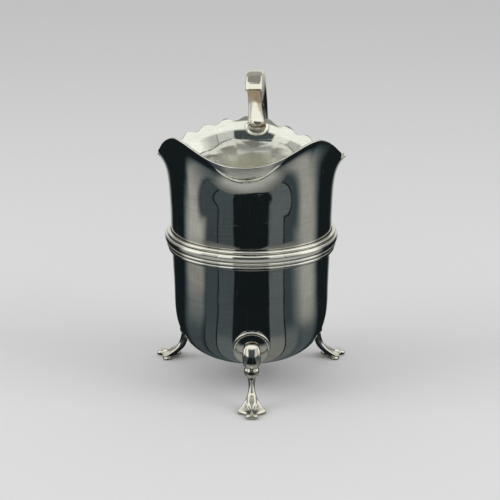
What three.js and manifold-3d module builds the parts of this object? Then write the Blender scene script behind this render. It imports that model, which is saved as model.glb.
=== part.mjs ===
// Small silver cream jug on three feet, in millimetres. +Z is up, the lip points along -Y,
// the handle along +Y, and the feet stand on Z = 0. Every piece is soldered to its neighbour.
import * as THREE from 'three';
import { mergeVertices } from 'three/addons/utils/BufferGeometryUtils.js';
import Module from 'manifold-3d';

const wasm = await Module();
wasm.setup();

const degrees = THREE.MathUtils.degToRad;

// Seams
const SEAM = 0.3; // clearance between soldered pieces

// Overall
const JUG_HEIGHT = 107.4; // from the table to the top of the handle
const HANDLE_RISE = 16.6; // from the back rim to the top of the handle

// Body sheet
const WALL = 1;
const WALL_RADIUS = 29; // outside of the wall where the flare begins
const WALL_TAPER = 0.9; // how much narrower the wall is where the rounded base begins
const BASE_Z = 9.2; // underside of the bowl above the table
const BOWL_TOP_Z = 35;
const BOWL_SQUARENESS = 3.1;
const FLARE_SHARE = 0.448; // where the flare starts, up from the bowl to the back rim
const LIP_FLARE_SHARE = 0.699; // the same under the lip

// Rim, with its flares measured out from the wall and its heights from the back rim
const LIP_FLARE = 10.5;
const LIP_DROP = 2.2;
const WING_RISE = 4.6;
const SIDE_FLARE = 4.5;
const SIDE_DROP = 6.8;
const SIDE_CURL = 0.65; // part of the side's flare that comes late, as a curl
const BACK_FLARE = 4;
const BACK_TILT = 1.8; // how much the hand-cut edge stands higher left of the handle, and lower right
const WING_ANGLE = degrees(42);
const LIP_SPREAD_ANGLE = degrees(68);
const LIP_ROUNDNESS = 0.1; // share of that spread over which the lip's point is rounded
const SIDE_ANGLE = degrees(95);
const SCALLOPS_PER_TURN = 25;
const SCALLOP_COUNT = 15;
const SCALLOP_DEPTH = 1.15;

// Reeded girdle
const GIRDLE_SHARE = 0.339; // its middle, up from the bowl to the back rim
const GIRDLE_HEIGHT = 7;
const GIRDLE_PROUD = 2.4; // crest of the broad reed from the wall
const GIRDLE_GROOVE = 0.9; // bottom of the grooves from the wall

// Knee plates
const LEG_COUNT = 3;
const FEET_TURN = degrees(4.3); // the feet stand a little round from the lip
const KNEE_PLATE_WIDTH = 13.2;
const KNEE_PLATE_RISE = 6.8; // from its widest line to its top
const KNEE_PLATE_DROP = 3.9; // from its widest line to its lower point
const KNEE_PLATE_Z = 21; // height of its widest line
const PLATE_FIELD = 0.6;
const PLATE_BEAD = 0.95;

// Legs: knee, collar, knop and ankle
const KNEE_PROUD = 2.8; // front of the knee from the face of its plate
const KNEE_TOP_Z = 23.2;
const KNEE_WIDTH = 6.5;
const KNEE_THICKNESS = 3.8;
const COLLAR_Z = 14.7; // narrow neck between knee and knop
const COLLAR_WIDTH = 4.8;
const COLLAR_THICKNESS = 3.2;
const KNOP_Z = 12.8;
const KNOP_HEIGHT = 3;
const KNOP_WIDTH = 5.3;
const KNOP_THICKNESS = 4.1;
const ANKLE_SWEEP = 1; // from the middle of the knee out to the middle of the ankle
const ANKLE_Z = 7.1;
const ANKLE_WIDTH = 2.2;
const ANKLE_THICKNESS = 3;

// Foot: a spread pad with a raised toe and two corners
const FOOT_SWEEP = 12.5; // from the middle of the knee out to the toe's tip
const FOOT_WIDTH = 10;
const TOE_WIDTH = 4.4;
const TOE_HEIGHT = 5.1;
const CORNER_LAG = 6.1; // from the toe's tip back to the middle of the corners
const CORNER_RADIUS = 1.7;
const CORNER_HEIGHT = 1.9;

// Handle scroll
const HANDLE_REACH = 67.5;
const HANDLE_OVERHANG = 0.6; // middle of its square end past the back rim
const HANDLE_LEAN = degrees(-1.3); // the scroll leans a little to one side
const HANDLE_WIDTH = 6.6;
const HANDLE_THICKNESS = 3.4;
const TAIL_DROP = 4.4; // from the middle of the lower plate
const TAIL_WIDTH = 4.4;
const TAIL_THICKNESS = 2;

// Upper strap and the tongue that it stands on
const STRAP_WIDTH = 5;
const STRAP_THICKNESS = 2.2;
const STRAP_FOOT_WIDTH = 6.4;
const STRAP_FOOT_DROP = 3.1; // from the back rim down to the strap's foot
const TONGUE_WIDTH = 8.9;
const TONGUE_DROP = 1.2; // from the back rim down to the tongue's top
const TONGUE_HEIGHT = 4.7;
const TONGUE_FIELD = 0.4;
const TONGUE_BEAD = 0.65;

// Pad under the scroll's lower end
const LOWER_PLATE_DROP = 4.6; // from the girdle down to its top
const LOWER_PLATE_WIDTH = 7.4;
const LOWER_PLATE_HEIGHT = 9.6;

// Facets
const BODY_COLUMNS = 4 * SCALLOPS_PER_TURN;
const BOWL_ROWS = 7;
const FLARE_ROWS = 8;
const GIRDLE_SEGMENTS = 64;
const PLATE_SPOKES = 24;
const SECTION_SIDES = 12;
const CORNER_SEGMENTS = 12;
const SCROLL_STEPS = 48;

const mix = THREE.MathUtils.lerp;

// Sizes that follow from the ones above
const BOWL_RADIUS = WALL_RADIUS - WALL_TAPER;
const BACK_Z = JUG_HEIGHT - HANDLE_RISE;
const LIP_Z = BACK_Z - LIP_DROP;
const WING_Z = BACK_Z + WING_RISE;
const SIDE_Z = BACK_Z - SIDE_DROP;
const FLARE_Z = mix(BOWL_TOP_Z, BACK_Z, FLARE_SHARE);
const LIP_FLARE_Z = mix(BOWL_TOP_Z, BACK_Z, LIP_FLARE_SHARE);
const GIRDLE_Z = mix(BOWL_TOP_Z, BACK_Z, GIRDLE_SHARE);
const LOWER_PLATE_Z = GIRDLE_Z - GIRDLE_HEIGHT / 2 - LOWER_PLATE_DROP - LOWER_PLATE_HEIGHT / 2;
const TAIL_Z = LOWER_PLATE_Z - TAIL_DROP;

const bulge = (value, power) => Math.sign(value) * Math.abs(value) ** power;
const ease = (share) => (1 - Math.cos(Math.PI * THREE.MathUtils.clamp(share, 0, 1))) / 2;

// Closed skin over a row of rings of equal count, with a fan over each end ring
function skin(rings) {
  const count = rings[0].length;
  const points = rings.flat();
  const faces = [];
  for (let row = 0; row + 1 < rings.length; row += 1) {
    for (let i = 0; i < count; i += 1) {
      const a = row * count + i;
      const b = row * count + ((i + 1) % count);
      faces.push(a, b, b + count, a, b + count, a + count);
    }
  }
  const last = (rings.length - 1) * count;
  const start = points.push(ringCentre(rings[0])) - 1;
  const end = points.push(ringCentre(rings.at(-1))) - 1;
  for (let i = 0; i < count; i += 1) {
    const next = (i + 1) % count;
    faces.push(start, next, i, end, last + i, last + next);
  }
  return new THREE.BufferGeometry().setFromPoints(points).setIndex(faces);
}

function ringCentre(ring) {
  const centre = new THREE.Vector3();
  ring.forEach((point) => centre.add(point));
  return centre.divideScalar(ring.length);
}

function toSolid(geometry) {
  const bare = geometry.clone();
  bare.deleteAttribute('normal');
  bare.deleteAttribute('uv');
  const merged = mergeVertices(bare);
  return new wasm.Manifold(new wasm.Mesh({
    numProp: 3,
    vertProperties: new Float32Array(merged.attributes.position.array),
    triVerts: new Uint32Array(merged.index.array),
  }));
}

function toGeometry(solid) {
  const mesh = solid.getMesh();
  const geometry = new THREE.BufferGeometry();
  geometry.setAttribute('position', new THREE.BufferAttribute(mesh.vertProperties, mesh.numProp));
  return geometry.setIndex(new THREE.BufferAttribute(mesh.triVerts, 1));
}

// Point at an angle from the lip, turning towards +X
function around(angle, radius, z) {
  return new THREE.Vector3(radius * Math.sin(angle), -radius * Math.cos(angle), z);
}

// Angle from the lip, 0 to PI on either side
function fromLip(angle) {
  return Math.abs(Math.atan2(Math.sin(angle), Math.cos(angle)));
}

function rimHeight(angle) {
  const turn = fromLip(angle);
  if (turn < WING_ANGLE) return mix(LIP_Z, WING_Z, ease((turn / WING_ANGLE) ** 1.2));
  const fall = Math.max(0, turn - WING_ANGLE) / (SIDE_ANGLE - WING_ANGLE);
  if (turn < SIDE_ANGLE) return mix(WING_Z, SIDE_Z, ease(fall ** 0.85)) - scallop(angle);
  const rise = (turn - SIDE_ANGLE) / (Math.PI - SIDE_ANGLE);
  const tilt = Math.sign(Math.sin(angle)) * BACK_TILT * Math.sin(Math.PI * rise);
  return mix(SIDE_Z, BACK_Z, ease(rise ** 1.4)) - tilt - scallop(angle);
}

// Depth of the wavy edge, zero on each crest and past the last one
function scallop(angle) {
  const pitch = (2 * Math.PI) / SCALLOPS_PER_TURN;
  const place = (Math.PI - fromLip(angle)) / pitch;
  if (place > SCALLOP_COUNT / 2) return 0;
  return SCALLOP_DEPTH * Math.cos(Math.PI * place) ** 2;
}

// Flare of the rim beyond the wall
function rimFlare(angle) {
  const turn = fromLip(angle);
  if (turn < LIP_SPREAD_ANGLE) {
    const away = Math.hypot(turn / LIP_SPREAD_ANGLE, LIP_ROUNDNESS) - LIP_ROUNDNESS;
    const near = 1 - away / (Math.hypot(1, LIP_ROUNDNESS) - LIP_ROUNDNESS);
    return mix(SIDE_FLARE, LIP_FLARE, near ** 1.15);
  }
  return mix(SIDE_FLARE, BACK_FLARE, ease((turn - SIDE_ANGLE) / (Math.PI - SIDE_ANGLE)));
}

function flareStart(angle) {
  return mix(LIP_FLARE_Z, FLARE_Z, ease((fromLip(angle) / WING_ANGLE) ** 2));
}

// Share of the rim's flare at a share of its height
function flareShare(angle, share) {
  const curl = SIDE_CURL * ease(fromLip(angle) / SIDE_ANGLE);
  return mix(share ** 2, share ** 8, curl);
}

// Outside radius of the bowl and the wall below the flare
function wallRadius(z) {
  if (z >= BOWL_TOP_Z) return mix(BOWL_RADIUS, WALL_RADIUS, (z - BOWL_TOP_Z) / (FLARE_Z - BOWL_TOP_Z));
  const drop = (BOWL_TOP_Z - z) / (BOWL_TOP_Z - BASE_Z);
  return BOWL_RADIUS * Math.max(0, 1 - drop ** BOWL_SQUARENESS) ** (1 / BOWL_SQUARENESS);
}

// Height of the bowl's underside at a share of its radius
function bowlHeight(share) {
  const drop = (1 - share ** BOWL_SQUARENESS) ** (1 / BOWL_SQUARENESS);
  return BOWL_TOP_Z - (BOWL_TOP_Z - BASE_Z) * drop;
}

// Outside of the sheet at one angle, from the middle of the base to the rim
function outerProfile(angle) {
  const profile = [];
  for (let row = 1; row <= BOWL_ROWS; row += 1) {
    const lean = (row / BOWL_ROWS) * (Math.PI / 2);
    const share = Math.sin(lean) ** (2 / BOWL_SQUARENESS);
    profile.push(new THREE.Vector2(BOWL_RADIUS * share, bowlHeight(share)));
  }
  const start = flareStart(angle);
  const height = rimHeight(angle) - start;
  const reach = rimFlare(angle);
  profile.push(new THREE.Vector2(WALL_RADIUS, FLARE_Z));
  for (let row = 1; row <= FLARE_ROWS; row += 1) {
    const share = Math.sin((row / FLARE_ROWS) * (Math.PI / 2));
    const out = WALL_RADIUS + reach * flareShare(angle, share);
    profile.push(new THREE.Vector2(out, start + height * share));
  }
  return profile;
}

// Inside of the sheet: each outside point moved square to the profile by the wall
function innerProfile(outer) {
  return outer.map((point, i) => {
    const before = outer[Math.max(0, i - 1)];
    const after = outer[Math.min(outer.length - 1, i + 1)];
    const along = after.clone().sub(before).normalize();
    return new THREE.Vector2(point.x - along.y * WALL, point.y + along.x * WALL);
  });
}

function makeBody() {
  const profiles = [];
  for (let column = 0; column < BODY_COLUMNS; column += 1) {
    const outer = outerProfile((column / BODY_COLUMNS) * 2 * Math.PI);
    profiles.push([...outer, ...innerProfile(outer).reverse()]);
  }
  const rings = profiles[0].map((_, row) => profiles.map((profile, column) => (
    around((column / BODY_COLUMNS) * 2 * Math.PI, profile[row].x, profile[row].y)
  )));
  return skin(rings);
}

// Reeds from the top, as shares of the girdle's height and of its crest, with their facets
const REED_SHARES = [[0.17, 0.67, 3], [0.4, 1, 5], [0.215, 0.79, 3], [0.215, 0.63, 3]];

function makeGirdle() {
  let top = GIRDLE_Z + GIRDLE_HEIGHT / 2;
  const seat = (z) => wallRadius(z) + SEAM;
  const profile = [new THREE.Vector2(seat(top), top)];
  REED_SHARES.forEach(([tall, proud, steps], reed) => {
    for (let step = reed === 0 ? 0 : 1; step <= steps; step += 1) {
      const turn = (step / steps) * Math.PI;
      const z = top - (tall * GIRDLE_HEIGHT * (1 - Math.cos(turn))) / 2;
      const out = mix(GIRDLE_GROOVE, proud * GIRDLE_PROUD, Math.sin(turn));
      profile.push(new THREE.Vector2(wallRadius(z) + out, z));
    }
    top -= tall * GIRDLE_HEIGHT;
  });
  profile.push(new THREE.Vector2(seat(top), top), profile[0].clone());
  return new THREE.LatheGeometry(profile.reverse(), GIRDLE_SEGMENTS).rotateX(Math.PI / 2);
}

// Rows over a plate, from its back to its field: share of the outline, of the bead's height
// and of the field's height
const PLATE_SHARES = [
  [0.55, 0, 0], [1, 0, 0], [1, 0.6, 0], [0.93, 1, 0], [0.84, 0, 1], [0.45, 0, 1],
];

// Plate that follows a round wall: an outline of (across, up) points at a height,
// on the side of the wall that "facing" gives, 1 outside and -1 inside
function makePlate({ outline, angle, height, radiusAt, facing, field, bead }) {
  const rings = PLATE_SHARES.map(([share, ofBead, ofField]) => outline.map((point) => {
    const z = height + point.y * share;
    const turn = angle + (facing * point.x * share) / radiusAt(z, angle);
    const lift = SEAM + ofBead * bead + ofField * field;
    return around(turn, radiusAt(z, turn) + facing * lift, z);
  }));
  return skin(rings);
}

// Rounded outline, squarer where a power is under 1 and more pointed where it is over 1
function plateOutline(width, rise, drop, upperPower, lowerPower) {
  return Array.from({ length: PLATE_SPOKES }, (_, i) => {
    const turn = (i / PLATE_SPOKES) * 2 * Math.PI;
    const upper = i < PLATE_SPOKES / 2;
    const power = upper ? upperPower : lowerPower;
    const across = bulge(Math.cos(turn), power) * (width / 2);
    return new THREE.Vector2(across, bulge(Math.sin(turn), power) * (upper ? rise : drop));
  });
}

function makeKneePlate() {
  return makePlate({
    outline: plateOutline(KNEE_PLATE_WIDTH, KNEE_PLATE_RISE, KNEE_PLATE_DROP, 1, 1.2),
    angle: 0,
    height: KNEE_PLATE_Z,
    radiusAt: wallRadius,
    facing: 1,
    field: PLATE_FIELD,
    bead: PLATE_BEAD,
  });
}

// Ring square to a path in the plane X = 0. Its upper and lower halves are squarer where their
// power is under 1, and hollow-sided where it is over 2
function section(centre, along, width, thickness, powers) {
  const across = new THREE.Vector3(1, 0, 0);
  const up = new THREE.Vector3().crossVectors(along, across).normalize();
  return Array.from({ length: SECTION_SIDES }, (_, i) => {
    const turn = (i / SECTION_SIDES) * 2 * Math.PI;
    const power = powers[Math.sin(turn) > 0 ? 0 : 1];
    return centre.clone()
      .addScaledVector(across, (bulge(Math.cos(turn), power) * width) / 2)
      .addScaledVector(up, (bulge(Math.sin(turn), power) * thickness) / 2);
  });
}

// Skin over sections at stations along a centre line near the plane X = 0
function loft(stations) {
  const centres = stations.map(({ x = 0, y, z }) => new THREE.Vector3(x, y, z));
  return skin(stations.map(({ width, thickness, along, powers = [1, 1] }, i) => {
    const before = centres[Math.max(0, i - 1)];
    const after = centres[Math.min(centres.length - 1, i + 1)];
    const way = along ?? after.clone().sub(before).normalize();
    return section(centres[i], way, width, thickness, powers);
  }));
}

// Solid inside the knee plates' faces, which the legs are cut to
function kneeSeat() {
  const offset = SEAM + PLATE_BEAD + SEAM;
  const profile = [new THREE.Vector2(0, BASE_Z - offset)];
  for (let row = 1; row <= 2 * BOWL_ROWS; row += 1) {
    const share = Math.sin((row / (2 * BOWL_ROWS)) * (Math.PI / 2)) ** (2 / BOWL_SQUARENESS);
    profile.push(new THREE.Vector2(BOWL_RADIUS * share + offset, bowlHeight(share)));
  }
  profile.push(new THREE.Vector2(0, BOWL_TOP_Z));
  return toSolid(new THREE.LatheGeometry(profile, BODY_COLUMNS).rotateX(Math.PI / 2));
}

// Knee, knop and shank as rows of shares: way along, width and thickness
const KNEE_SHARES = [
  [0, 0.3, 0.5], [0.1, 0.64, 0.72], [0.25, 0.9, 0.92], [0.45, 1, 1], [0.75, 0.98, 1],
  [0.95, 0.86, 0.96],
];
const KNOP_SHARES = [[0.35, 0.95, 0.93], [0, 1, 1], [-0.4, 0.8, 0.88]];
const SHANK_SHARES = [[0.08, 0.34, 0.6], [0.45, 0.14, 0.25]];

// Instep from the ankle to the toe's tip: shares of the way out, of the ankle's height, of the
// foot's width and of the toe's height, and how hollow the upper side is
const INSTEP_SHARES = [
  [0.045, 0.87, 0.25, 0.59, 1], [0.105, 0.74, 0.37, 0.6, 1.1], [0.235, 0.56, 0.6, 0.64, 1.3],
  [0.4, 0.36, 0.82, 0.95, 1.6], [0.56, 0.24, 0.97, 0.96, 1.9], [0.75, 0.2, 0.72, 0.86, 1.6],
  [0.9, 0.18, 0.48, 0.7, 1.3], [1, 0.17, 0.3, 0.5, 1],
];
// Toe: shares of the way out, of the ankle's height, of its own width and of its height
const TOE_SHARES = [
  [0.28, 0.5, 0.5, 0.5], [0.4, 0.42, 0.9, 0.8], [0.6, 0.22, 1, 1.04], [0.84, 0.15, 0.96, 0.94],
  [0.975, 0.12, 0.7, 0.68],
];

// Middle of the knee, collar and knop from the jug's axis
const SHAFT_REACH = wallRadius(KNEE_PLATE_Z) + SEAM + PLATE_BEAD + KNEE_PROUD - KNEE_THICKNESS / 2;
const ANKLE_REACH = SHAFT_REACH + ANKLE_SWEEP;
const FOOT_REACH = SHAFT_REACH + FOOT_SWEEP;

// Knee, collar and knop, which stand upright
function kneeStations() {
  const upright = (z, width, thickness, powers) => ({
    y: -SHAFT_REACH, z, width, thickness, powers, along: new THREE.Vector3(0, 0, -1),
  });
  return [
    ...KNEE_SHARES.map(([way, width, thickness]) => (
      upright(mix(KNEE_TOP_Z, COLLAR_Z, way), width * KNEE_WIDTH, thickness * KNEE_THICKNESS, [0.85, 0.85])
    )),
    upright(COLLAR_Z, COLLAR_WIDTH, COLLAR_THICKNESS),
    ...KNOP_SHARES.map(([way, width, thickness]) => (
      upright(KNOP_Z + way * KNOP_HEIGHT, width * KNOP_WIDTH, thickness * KNOP_THICKNESS)
    )),
  ];
}

// Leg under the lip from its knee down over the foot
function legShaft() {
  const shank = SHANK_SHARES.map(([way, width, thickness]) => ({
    y: mix(-SHAFT_REACH, -ANKLE_REACH, way),
    z: mix(KNOP_Z - KNOP_HEIGHT / 2, ANKLE_Z, way),
    width: mix(ANKLE_WIDTH, KNOP_WIDTH, width),
    thickness: mix(ANKLE_THICKNESS, KNOP_THICKNESS, thickness),
  }));
  const ankle = {
    y: -ANKLE_REACH, z: ANKLE_Z, width: ANKLE_WIDTH, thickness: ANKLE_THICKNESS,
  };
  const instep = INSTEP_SHARES.map(([out, up, width, thickness, hollow]) => ({
    y: mix(-ANKLE_REACH, -FOOT_REACH, out),
    z: up * ANKLE_Z,
    width: width * FOOT_WIDTH,
    thickness: thickness * TOE_HEIGHT,
    powers: [hollow, 1],
  }));
  return loft([...kneeStations(), ...shank, ankle, ...instep]);
}

function toe() {
  return loft(TOE_SHARES.map(([out, up, width, height]) => ({
    y: mix(-ANKLE_REACH, -FOOT_REACH, out),
    z: up * ANKLE_Z,
    width: width * TOE_WIDTH,
    thickness: height * TOE_HEIGHT,
    along: new THREE.Vector3(0, -1, 0),
  })));
}

function corner(side) {
  const ball = new THREE.SphereGeometry(1, CORNER_SEGMENTS, CORNER_SEGMENTS / 2);
  ball.scale(CORNER_RADIUS, CORNER_RADIUS, CORNER_HEIGHT);
  return toSolid(ball.translate(side * (FOOT_WIDTH / 2 - CORNER_RADIUS), CORNER_LAG - FOOT_REACH, 0));
}

function makeLeg() {
  const whole = wasm.Manifold.union([toSolid(legShaft()), toSolid(toe()), corner(-1), corner(1)]);
  const below = new THREE.BoxGeometry(3 * FOOT_WIDTH, 3 * FOOT_REACH, 2 * TOE_HEIGHT);
  below.translate(0, 0, -TOE_HEIGHT);
  return toGeometry(whole.subtract(kneeSeat()).subtract(toSolid(below)));
}

// Scroll's centre line as shares of the way back and of the way up: over the top from its
// square front end, and down the back to the wall and into its tail
const CREST_SHARES = [
  [0, 0.933], [0.025, 0.9665], [0.118, 0.994], [0.27, 1], [0.556, 0.952], [0.82, 0.8355],
  [0.963, 0.683], [1, 0.53],
];
const FALL_SHARES = [
  [0.918, 0.37], [0.712, 0.236], [0.444, 0.156], [0.224, 0.1165], [0.073, 0.076],
  [0.04, 0.032], [0.1, 0], [0.182, 0.0146],
];

function scrollCurve() {
  const front = WALL_RADIUS + BACK_FLARE + HANDLE_OVERHANG;
  const wall = wallRadius(LOWER_PLATE_Z) + SEAM + PLATE_BEAD + SEAM;
  const back = HANDLE_REACH - HANDLE_THICKNESS / 2;
  const top = JUG_HEIGHT - HANDLE_THICKNESS / 2;
  const along = (start) => ([y, z]) => (
    new THREE.Vector3(0, mix(start, back, y), mix(TAIL_Z, top, z))
  );
  const points = [...CREST_SHARES.map(along(front)), ...FALL_SHARES.map(along(wall))];
  return new THREE.CatmullRomCurve3(points, false, 'centripetal');
}

function makeScroll() {
  const curve = scrollCurve();
  const rings = [];
  for (let step = 0; step <= SCROLL_STEPS; step += 1) {
    const share = step / SCROLL_STEPS;
    const slim = ease((share - 0.25) / 0.75);
    const width = mix(HANDLE_WIDTH, TAIL_WIDTH, slim);
    const thickness = mix(HANDLE_THICKNESS, TAIL_THICKNESS, slim);
    rings.push(
      section(curve.getPoint(share), curve.getTangent(share), width, thickness, [0.88, 0.88]),
    );
  }
  return toGeometry(toSolid(skin(rings)).subtract(wallCutter(SEAM + PLATE_BEAD + SEAM)));
}

// Upright cylinder over the wall, grown by an offset
function wallCutter(offset) {
  const height = 2 * GIRDLE_Z;
  const radius = wallRadius(LOWER_PLATE_Z) + offset;
  return toSolid(new THREE.CylinderGeometry(radius, radius, height, BODY_COLUMNS).rotateX(Math.PI / 2));
}

function makeLowerPlate() {
  return makePlate({
    outline: plateOutline(LOWER_PLATE_WIDTH, LOWER_PLATE_HEIGHT / 2, LOWER_PLATE_HEIGHT / 2, 1, 1),
    angle: Math.PI,
    height: LOWER_PLATE_Z,
    radiusAt: wallRadius,
    facing: 1,
    field: PLATE_FIELD,
    bead: PLATE_BEAD,
  });
}

// Inside radius of the flare at a height
function insideRadius(z, angle) {
  const start = flareStart(angle);
  const rise = rimHeight(angle) - start;
  const reach = rimFlare(angle);
  const radiusAt = (level) => WALL_RADIUS + reach * flareShare(angle, (level - start) / rise);
  const slope = (radiusAt(z + WALL) - radiusAt(z - WALL)) / (2 * WALL);
  return radiusAt(z) - WALL * Math.hypot(1, slope);
}

function makeTongue() {
  return makePlate({
    outline: plateOutline(TONGUE_WIDTH, TONGUE_HEIGHT / 2, TONGUE_HEIGHT / 2, 0.35, 1),
    angle: Math.PI,
    height: BACK_Z - TONGUE_DROP - TONGUE_HEIGHT / 2,
    radiusAt: insideRadius,
    facing: -1,
    field: TONGUE_FIELD,
    bead: TONGUE_BEAD,
  });
}

// Point of the scroll's plane, moved with the scroll as it leans
function leaned(point) {
  const rise = point.z - LOWER_PLATE_Z;
  return new THREE.Vector3(
    point.x + rise * Math.sin(HANDLE_LEAN),
    point.y,
    LOWER_PLATE_Z + rise * Math.cos(HANDLE_LEAN),
  );
}

// Rows of shares along the strap: way up, spread of its foot and thickness
const STRAP_SHARES = [[0, 0.7, 0.6], [0.06, 1, 0.9], [0.2, 0.75, 1], [0.4, 0.2, 1], [0.7, 0, 1]];

function makeStrap() {
  const lean = scrollCurve().getTangentAt(0);
  const top = leaned(scrollCurve().getPointAt(0).addScaledVector(lean, -SEAM));
  const level = BACK_Z - STRAP_FOOT_DROP;
  const seat = insideRadius(level, Math.PI) - SEAM - TONGUE_BEAD - SEAM;
  const foot = new THREE.Vector3(0, seat - STRAP_THICKNESS / 2, level);
  const stations = STRAP_SHARES.map(([way, spread, thickness]) => ({
    x: mix(foot.x, top.x, way),
    y: mix(foot.y, top.y, way),
    z: mix(foot.z, top.z, way),
    width: mix(STRAP_WIDTH, STRAP_FOOT_WIDTH, spread),
    thickness: thickness * STRAP_THICKNESS,
    powers: [0.75, 0.75],
  }));
  const last = {
    ...stations.at(-1), x: top.x, y: top.y, z: top.z, width: STRAP_WIDTH, along: lean,
  };
  return loft([...stations, last]);
}

const SILVER = { color: 0xc9c8c1, roughness: 0.24, metalness: 1 };
const CAST_SILVER = { color: 0xd2cfc4, roughness: 0.3, metalness: 1 };

function piece(name, geometry, finish) {
  const mesh = new THREE.Mesh(geometry, new THREE.MeshStandardMaterial(finish));
  mesh.name = name;
  return mesh;
}

function makeLegs() {
  const stand = new THREE.Group();
  const plate = makeKneePlate();
  const leg = makeLeg();
  ['front', 'right', 'left'].slice(0, LEG_COUNT).forEach((side, i) => {
    const mount = new THREE.Group();
    mount.rotation.z = FEET_TURN + (i / LEG_COUNT) * 2 * Math.PI;
    mount.add(piece(`knee_plate_${side}`, plate, SILVER), piece(`leg_${side}`, leg, CAST_SILVER));
    stand.add(mount);
  });
  return stand;
}

// Scroll, leaning from the lower plate
function makeHandle() {
  const handle = new THREE.Group();
  const scroll = piece('handle_scroll', makeScroll(), CAST_SILVER);
  handle.position.z = LOWER_PLATE_Z;
  handle.rotation.y = HANDLE_LEAN;
  scroll.position.z = -LOWER_PLATE_Z;
  return handle.add(scroll);
}

const jug = new THREE.Group();
jug.add(
  piece('body_shell', makeBody(), SILVER),
  piece('girdle_wire', makeGirdle(), SILVER),
  piece('handle_tongue', makeTongue(), SILVER),
  piece('handle_lower_plate', makeLowerPlate(), SILVER),
  piece('handle_strap', makeStrap(), CAST_SILVER),
  makeHandle(),
  makeLegs(),
);

// The origin is under the middle of the whole jug
jug.updateMatrixWorld(true);
const middle = new THREE.Box3().setFromObject(jug, true).getCenter(new THREE.Vector3());
jug.position.set(-middle.x, -middle.y, 0);

export default jug;
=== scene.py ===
"""Old silver cream jug on three feet: fine surfaces, finish, studio and camera."""
import math
from collections import namedtuple

import bpy
import numpy as np
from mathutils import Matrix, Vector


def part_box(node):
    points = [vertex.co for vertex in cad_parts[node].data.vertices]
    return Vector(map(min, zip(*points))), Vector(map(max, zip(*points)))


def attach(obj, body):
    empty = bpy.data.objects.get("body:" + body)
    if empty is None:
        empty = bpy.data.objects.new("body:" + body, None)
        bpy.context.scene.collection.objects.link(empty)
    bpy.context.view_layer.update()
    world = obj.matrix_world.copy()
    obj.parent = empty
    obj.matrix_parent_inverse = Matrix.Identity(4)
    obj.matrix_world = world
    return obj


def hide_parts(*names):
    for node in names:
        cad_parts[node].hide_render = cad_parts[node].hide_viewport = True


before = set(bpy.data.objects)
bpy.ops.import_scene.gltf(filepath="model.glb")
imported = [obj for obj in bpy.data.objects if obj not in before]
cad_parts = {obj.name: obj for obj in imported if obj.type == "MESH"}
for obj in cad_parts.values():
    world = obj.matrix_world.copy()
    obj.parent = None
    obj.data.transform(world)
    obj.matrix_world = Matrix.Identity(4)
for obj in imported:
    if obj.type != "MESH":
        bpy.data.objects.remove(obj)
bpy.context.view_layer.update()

MM = 0.001
girdle_low, girdle_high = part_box("girdle_wire")
AXIS = (girdle_low + girdle_high) / 2  # the jug's upright axis, in metres

# Lengths in millimetres, with heights above the table, as in the solids
SEAM = 0.3
JUG_HEIGHT = 107.4
HANDLE_RISE = 16.6  # from the back rim to the top of the handle
BACK_Z = JUG_HEIGHT - HANDLE_RISE

WALL = 1.0
WALL_RADIUS = 29.0  # outside of the wall where the flare begins
WALL_TAPER = 0.9  # how much narrower the wall is where the rounded base begins
BOWL_RADIUS = WALL_RADIUS - WALL_TAPER
BASE_Z = 9.2
BOWL_TOP_Z = 35.0
BOWL_SQUARENESS = 3.1
FLARE_SHARE = 0.448  # where the flare begins, up from the bowl to the back rim
LIP_FLARE_SHARE = 0.699  # the same under the lip
FLARE_Z = BOWL_TOP_Z + FLARE_SHARE * (BACK_Z - BOWL_TOP_Z)
LIP_FLARE_Z = BOWL_TOP_Z + LIP_FLARE_SHARE * (BACK_Z - BOWL_TOP_Z)

# The edge: its flares from the wall, its heights from the back rim, and its angles from the lip
LIP_FLARE = 10.5
SIDE_FLARE = 4.5
SIDE_CURL = 0.65  # part of the flare, at the sides and behind, that comes late, as a curl
BACK_FLARE = 4.0
BACK_TILT = 1.8  # how much the edge stands higher left of the handle, and lower right of it
LIP_DROP = 2.2
WING_RISE = 4.6
SIDE_DROP = 6.8
LIP_Z = BACK_Z - LIP_DROP
WING_Z = BACK_Z + WING_RISE
SIDE_Z = BACK_Z - SIDE_DROP
WING_ANGLE = math.radians(42)
LIP_SPREAD_ANGLE = math.radians(68)
LIP_ROUNDNESS = 0.1
SIDE_ANGLE = math.radians(95)
WING_POWER, SIDE_POWER, BACK_POWER = 1.2, 0.85, 1.4  # these bend the edge's way from one height to the next
LIP_FLARE_POWER, START_POWER = 1.15, 2
FLARE_POWER, CURL_POWER = 2, 8
SCALLOPS_PER_TURN = 25
SCALLOP_COUNT = 15
SCALLOP_DEPTH = 1.15

GIRDLE_SHARE = 0.339  # its middle, up from the bowl to the back rim
GIRDLE_Z = BOWL_TOP_Z + GIRDLE_SHARE * (BACK_Z - BOWL_TOP_Z)
GIRDLE_HEIGHT = 7.0
GIRDLE_PROUD = 2.4  # crest of the broad reed from the wall
REED_FOOT = 0.66  # share of a reed's crest at its two edges
REED_POWER = 0.85
REED_SHARES = ((0.17, 0.67), (0.4, 1), (0.215, 0.79), (0.215, 0.63))  # height and crest, from the top


def mix(low, high, share):
    return low + (high - low) * share


def ease(share):
    return (1 - np.cos(np.pi * np.clip(share, 0, 1))) / 2


def bulge(value, power):
    return np.sign(value) * np.abs(value) ** power


def from_lip(angle):
    return np.abs(np.arctan2(np.sin(angle), np.cos(angle)))


def turned(points, angle=0.0):
    """Points in metres from points in millimetres, turned round the jug's axis."""
    points = np.asarray(points, dtype=float)
    x, y = points[..., 0], points[..., 1]
    sine, cosine = math.sin(angle), math.cos(angle)
    place = np.stack((x * cosine - y * sine, x * sine + y * cosine, points[..., 2]), axis=-1) * MM
    return place + np.array((AXIS.x, AXIS.y, 0))


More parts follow.
